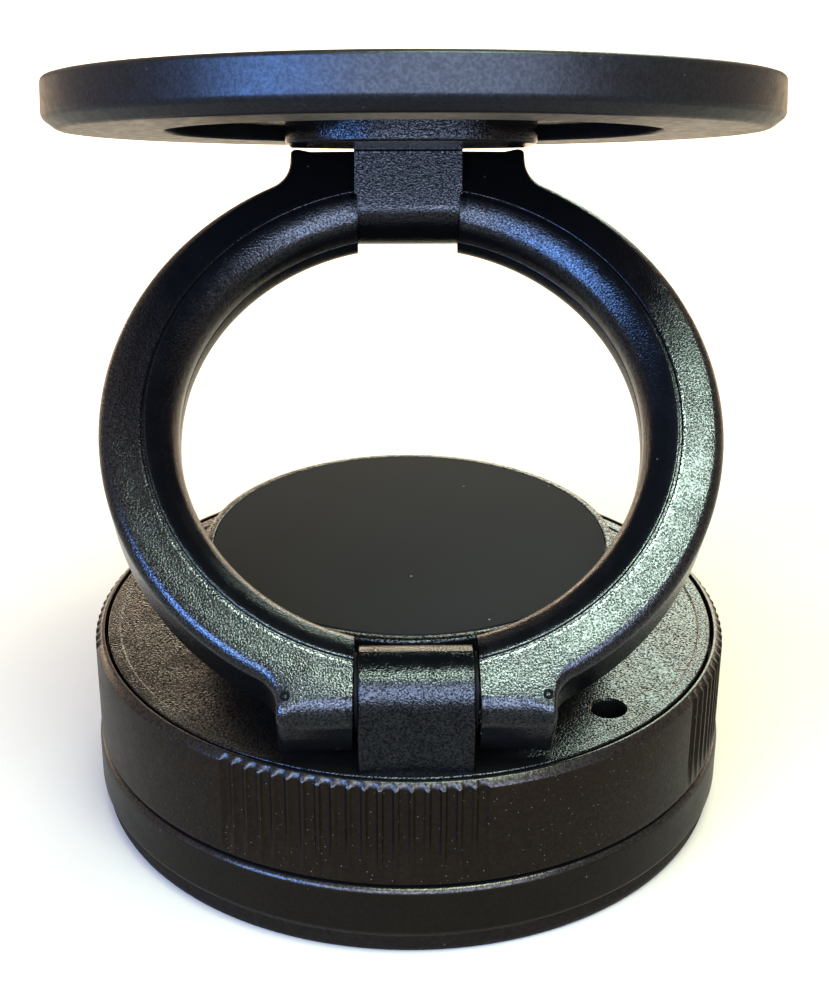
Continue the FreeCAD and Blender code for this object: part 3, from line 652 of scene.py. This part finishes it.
def half_ring(section, front, side):
    """One shell of one half of the ring arm: a section swept from hinge to
    hinge, its outside drawn out into the ears and its ends cut square at the slots."""
    places = section_points(section, True)
    bm = bmesh.new()
    first = bm.verts.new((0, *places[0]))
    bmesh.ops.spin(bm, geom=[first], cent=(0, 0, 0), axis=(0, 0, 1), angle=math.pi,
                   steps=RING_STEPS)
    swept(bm, bm.edges[:], places)
    bmesh.ops.remove_doubles(bm, verts=bm.verts[:], dist=FINE_MERGE)
    sign = 1.0 if front else -1.0
    ear_round = EAR_ROUND if front else EAR_BACK_ROUND
    for vert in bm.verts:
        radius = math.hypot(vert.co.x, vert.co.y)
        share = math.atan2(abs(vert.co.x), vert.co.y) / math.pi
        upper = share > 0.5
        share = 2 * min(share, 1 - share)
        near = min(share / EAR_SHARE, 1.0)
        beyond = max(share - EAR_SHARE, 0.0) / (1 - EAR_SHARE)
        turn = EAR_SPAN * near + (QUARTER - EAR_SPAN) * beyond
        ear_half = UPPER_EAR_HALF if upper else LOWER_EAR_HALF
        slot_half = UPPER_SLOT_HALF if upper else LOWER_SLOT_HALF
        ear_end = UPPER_EAR_END if upper else LOWER_EAR_END - LOWER_EAR_LEAN * vert.co.z
        inset = RING_OUTER - radius
        reach = radius
        edge = RING_EDGE
        settled = near == 1.0
        while not settled:
            slot_turn = math.degrees(math.asin(slot_half / reach))
            turn = (1 - near) * slot_turn + near * EAR_SPAN * near
            if inset >= FACET_SPREAD:
                break
            limit = plan_reach(turn, ear_half, ear_end)
            swell = min(max((limit - RING_OUTER) / EAR_SWELL, 0.0), 1.0)
            corner_turn = math.degrees(math.atan2(ear_half, RING_MIDDLE + ear_end))
            front_share = min(max((corner_turn + CORNER_LEAD - turn) / CORNER_FADE, 0.0), 1.0)
            ear_edge = EAR_SIDE_ROUND + (ear_round - EAR_SIDE_ROUND) * front_share
            edge = RING_EDGE + (ear_edge - RING_EDGE) * swell
            fade = (FACET_SPREAD - inset) / (FACET_SPREAD - RING_EDGE)
            inner = fade * (limit - edge) + (1 - fade) * FACET_START
            target = limit - inset * edge / RING_EDGE if inset <= RING_EDGE else inner
            settled = abs(target - reach) < REACH_SLACK
            reach += REACH_STEP * (target - reach)
        height = vert.co.z * sign
        top = facet_height(reach) if front else FACET_TOP
        drop = (facet_height(RING_OUTER) if front else FACET_TOP) - height
        if inset <= RING_EDGE and drop <= RING_EDGE + EDGE_SLACK:
            height = top - drop * edge / RING_EDGE
        elif RING_EDGE < inset < FACET_SPREAD and drop < RING_EDGE:
            height = top
        around = math.radians(turn)
        across = reach * math.sin(around) * side
        along = RING_MIDDLE + reach * math.cos(around) * (1 if upper else -1)
        vert.co = (across, along, height * sign)
    rim = [e for e in bm.edges if e.is_boundary]
    bmesh.ops.holes_fill(bm, edges=rim, sides=0)
    clean(bm)
    ends = [f for f in bm.faces if len(f.verts) > END_SIDES]
    lips = list({e for f in ends for e in f.edges})
    bmesh.ops.bevel(bm, geom=lips, offset=SLOT_LIP, offset_type="OFFSET", segments=2,
                    profile=0.5, affect="EDGES", clamp_overlap=True, material=-1)
    return bm


def paint_facet_edge_highlight(piece):
    """Gives the glossier, slightly lighter finish to a narrow strip of the facet, beside the parting
    groove: a painted highlight along the groove's edge.
    """
    piece.data.materials.append(facet_highlight_abs)
    unset = RING_SET.inverted()
    for face in piece.data.polygons:
        spot = unset @ (face.center / MM)
        reach = math.hypot(spot.x, spot.y - RING_MIDDLE)
        strip = FACET_INNER < reach < STRIP_OUTER and spot.z > STRIP_LOW
        face.material_index = 1 if strip else 0


# sections of the ring arm's shells: (radius, height, corner round)
FRONT_SECTION = [(RING_INNER, 0.06, 0.05), (RING_INNER, 2.0, 1.0), (22.1, LIP_TOP, 1.0),
                 (22.66, LIP_TOP, 0.06), (22.72, PARTING_FLOOR, 0), (FACET_INNER, PARTING_FLOOR, 0),
                 (FACET_EDGE, facet_height(FACET_EDGE), 0.05),
                 (STRIP_OUTER, facet_height(STRIP_OUTER), 0),
                 (FACET_START, facet_height(FACET_START), 0),
                 (RING_OUTER, facet_height(RING_OUTER), RING_EDGE), (RING_OUTER, 0.0, 0),
                 (SEAM_START, 0.0, 0)]
BACK_SECTION = [(RING_INNER, -0.06, 0.05), (SEAM_START, 0.0, 0), (RING_OUTER, 0.0, 0),
                (RING_OUTER, -FACET_TOP, RING_EDGE),
                (FACET_START, -FACET_TOP, 0), (RING_INNER, -FACET_TOP, 2.4)]
for word, side in (("left", -1), ("right", 1)):
    shell = settle("ring_arm_%s_front_shell" % word, half_ring(FRONT_SECTION, True, side), RING_SET,
                   "ring_arm", ["ring_%s_front" % word], ring_abs)
    # painted highlight: a shinier, lighter strip along the parting groove's edge
    paint_facet_edge_highlight(shell)
    mark = turned(EJECTOR_MARK, EJECTOR_STEPS)
    ear_reach = math.hypot(EJECTOR_SIDE, RING_MIDDLE - EJECTOR_ALONG)
    mark_spot = (EJECTOR_SIDE * side, EJECTOR_ALONG, facet_height(ear_reach))
    bmesh.ops.translate(mark, verts=mark.verts[:], vec=mark_spot)
    # the mark's dark, dull ring is painted shade of the ejector pit, set a little proud of the facet
    settle("ring_arm_%s_ejector_mark" % word, mark, RING_SET, "ring_arm",
           ["ring_%s_front" % word], ejector_pit_shade_abs)
    settle("ring_arm_%s_back_shell" % word, half_ring(BACK_SECTION, False, side), RING_SET,
           "ring_arm", ["ring_%s_back" % word], ring_abs)

# swivel hub: disc in the recess, then the boss as a tongue with a round nose, then the arm
hub = turned([(0.0, HUB_UNDER, 0), (HUB_RADIUS, HUB_UNDER, 0.1), (HUB_RADIUS, HUB_TOP, 0.1),
              (JOURNAL_RADIUS, HUB_TOP, 0), (JOURNAL_RADIUS, JOURNAL_TOP, 0),
              (0.0, JOURNAL_TOP, 0)], FINE_STEPS, False)
bmesh.ops.translate(hub, verts=hub.verts[:], vec=(0, PLATE_CENTRE, 0))
boss = bmesh.new()
bmesh.ops.create_circle(boss, cap_ends=True, radius=BOSS_REACH, segments=FINE_STEPS)
for vert in boss.verts:
    if vert.co.y < 0:
        vert.co.x *= BOSS_HALF / BOSS_REACH
        vert.co.y = BOSS_SIDE_END + vert.co.y * BOSS_NOSE / BOSS_REACH
    vert.co.x = min(max(vert.co.x, -BOSS_HALF), BOSS_HALF)
    if abs(vert.co.x) == BOSS_HALF:
        vert.co.y = max(vert.co.y, BOSS_SIDE_END)
grown = bmesh.ops.extrude_face_region(boss, geom=boss.faces[:])["geom"]
bmesh.ops.translate(boss, verts=[v for v in grown if isinstance(v, bmesh.types.BMVert)],
                    vec=(0, 0, BOSS_HEIGHT))
bmesh.ops.translate(boss, verts=boss.verts[:], vec=(0, PLATE_CENTRE, PLATE_UNDER - BOSS_DROP))
clean(boss)
sharp = [e for e in boss.edges if e.is_manifold and e.calc_face_angle() > SHARP_TURN]
bmesh.ops.bevel(boss, geom=sharp, offset=BOSS_EASE, offset_type="OFFSET", segments=3, profile=0.5,
                affect="EDGES", clamp_overlap=True, material=-1)
arm = drawn_out([(LUG_RADIUS, ARM_TOP, 0.1), (LUG_RADIUS, -LUG_RADIUS, LUG_ROUND),
                 (-LUG_RADIUS, -LUG_RADIUS, LUG_ROUND), (-3.72, -0.2, 0), (-3.3, 4.66, 0.2),
                 (ARM_ROOT, 4.68, 0), (ARM_ROOT, ARM_TOP, 0.1)], UPPER_LUG_HALF, 0.12)
hub = join(join(hub, boss), arm)
settle("swivel_hub_moulding", hub, PLATE_SET, "hub", ["swivel_hub"], lug_abs)

# magnetic plate
plate = turned([(RECESS_RADIUS, PLATE_UNDER, 0.2), (27.75, PLATE_UNDER, 0.3),
                (PLATE_RADIUS, 6.23, 0.35), (PLATE_RADIUS, PLATE_TOP, 0.4),
                (TRAY_RADIUS, PLATE_TOP, 0.15), (TRAY_RADIUS, 6.3, 0), (20.4, 6.3, 0),
                (20.4, 7.7, 0), (8.06, 7.7, 0), (8.06, RECESS_ROOF, 0),
                (RECESS_RADIUS, RECESS_ROOF, 0)], ROUND_STEPS)
bmesh.ops.translate(plate, verts=plate.verts[:], vec=(0, PLATE_CENTRE, 0))
settle("magnet_plate_shell", plate, PLATE_SET, "plate", ["plate_body"], plate_abs)
face = turned([(0.0, FACE_UNDER, 0), (FACE_RADIUS, FACE_UNDER, 0), (FACE_RADIUS, FACE_TOP, 0.15),
               (0.0, FACE_TOP, 0)], FINE_STEPS, False)
bmesh.ops.translate(face, verts=face.verts[:], vec=(0, PLATE_CENTRE, 0))
settle("phone_side_sheet", face, PLATE_SET, "plate", ["face_pad"], face_silicone)

# inner pieces keep their solids and get their real metals and plastics
INNER_FINISHES = {
    "pin": pin_steel, "stem": knob_abs, "screw": screw_steel, "washer": washer_acetal,
    "yoke": yoke_steel, "magnet": magnet_nickel, "retainer": screw_steel,
}
for name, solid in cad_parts.items():
    for word, finish in INNER_FINISHES.items():
        if word in name:
            solid.data.materials.clear()
            solid.data.materials.append(finish)

# studio: a paper floor that pales with distance from the mount, two pale lights to the right,
# two cool windows in front and a warm wash on the floor behind
FLOOR_HALF = 4.0
PALING_START = 0.5
PALING_END = 1.5
FIBRE_MM = 40.0
floor_finish, floor_tree, floor_coords = new_finish("paper_pale_floor")
fibre = add(floor_tree, "ShaderNodeTexNoise", {},
            {"Vector": floor_coords, "Scale": per_metre(FIBRE_MM), "Detail": 3.0})
paper = add(floor_tree, "ShaderNodeMix", {"data_type": "RGBA"},
            {"Factor": fibre.outputs["Fac"], MIX_FIRST: linear("#7c7264"),
             MIX_SECOND: linear("#807668")})
distance = add(floor_tree, "ShaderNodeVectorMath", {"operation": "LENGTH"}, {0: floor_coords})
paling = add(floor_tree, "ShaderNodeMapRange", {"interpolation_type": "SMOOTHSTEP"},
             {"Value": distance.outputs["Value"], "From Min": PALING_START,
              "From Max": PALING_END})
sweep = add(floor_tree, "ShaderNodeMix", {"data_type": "RGBA"},
            {"Factor": paling.outputs["Result"], MIX_FIRST: paper.outputs[MIXED],
             MIX_SECOND: linear("#e6e4e0")})
close_finish(floor_tree, {"Base Color": sweep.outputs[MIXED], "Roughness": 0.9})
ground = bmesh.new()
bmesh.ops.create_grid(ground, x_segments=1, y_segments=1, size=FLOOR_HALF)
floor_mesh = bpy.data.meshes.new("studio_floor")
ground.to_mesh(floor_mesh)
ground.free()
floor_mesh.materials.append(floor_finish)
floor = bpy.data.objects.new("studio_floor", floor_mesh)
bpy.context.scene.collection.objects.link(floor)


def soft_light(name, place, target, width, height, power, hex_colour):
    """A soft box in metres and watts, turned towards its target."""
    lamp = bpy.data.lights.new(name, "AREA")
    lamp.shape = "RECTANGLE"
    lamp.size = width
    lamp.size_y = height
    lamp.energy = power
    lamp.color = linear(hex_colour)[:3]
    light = bpy.data.objects.new(name, lamp)
    light.location = place
    light.rotation_euler = (Vector(target) - Vector(place)).to_track_quat("-Z", "Y").to_euler()
    bpy.context.scene.collection.objects.link(light)


soft_light("overhead_right", (0.12, -0.21, 0.62), (0.12, -0.209, 0.0), 0.35, 0.25, 13.5, "#e4fff0")
soft_light("back_right", (0.21, 0.66, 0.44), (0.0, 0.0, 0.02), 0.38, 0.26, 4.3, "#e4fff0")
soft_light("window_left", (-0.53, -0.55, 0.33), (0.0, 0.0, 0.05), 0.42, 0.46, 29.0, "#78acff")
soft_light("window_front", (0.10, -0.76, 0.40), (0.0, 0.0, 0.05), 1.04, 0.62, 44.0, "#c2d6ff")
soft_light("floor_wash", (0.0, 0.25, 0.06), (0.0, 0.251, 0.0), 0.70, 0.26, 4.8, "#ffe6c8")

world = bpy.data.worlds.new("studio_room")
world.use_nodes = True
world.node_tree.nodes["Background"].inputs["Color"].default_value = linear("#ffe6cc")
world.node_tree.nodes["Background"].inputs["Strength"].default_value = 1.15
bpy.context.scene.world = world
bpy.context.scene.view_settings.view_transform = "Standard"
bpy.context.scene.view_settings.gamma = 0.88
bpy.context.scene.view_settings.exposure = 0.12

# camera at the photograph's angle
lens = bpy.data.cameras.new("photo_camera")
lens.sensor_width = 36.0
lens.lens = 68.89
lens.clip_start = 0.01
camera = bpy.data.objects.new("photo_camera", lens)
camera.location = (-0.00372, -0.15647, 0.10389)
heading = Matrix.Rotation(math.radians(-1.52), 4, "Z")
stoop = Matrix.Rotation(math.radians(64.21), 4, "X")
lean = Matrix.Rotation(math.radians(0.33), 4, "Z")
camera.rotation_euler = (heading @ stoop @ lean).to_euler()
bpy.context.scene.collection.objects.link(camera)
bpy.context.scene.camera = camera
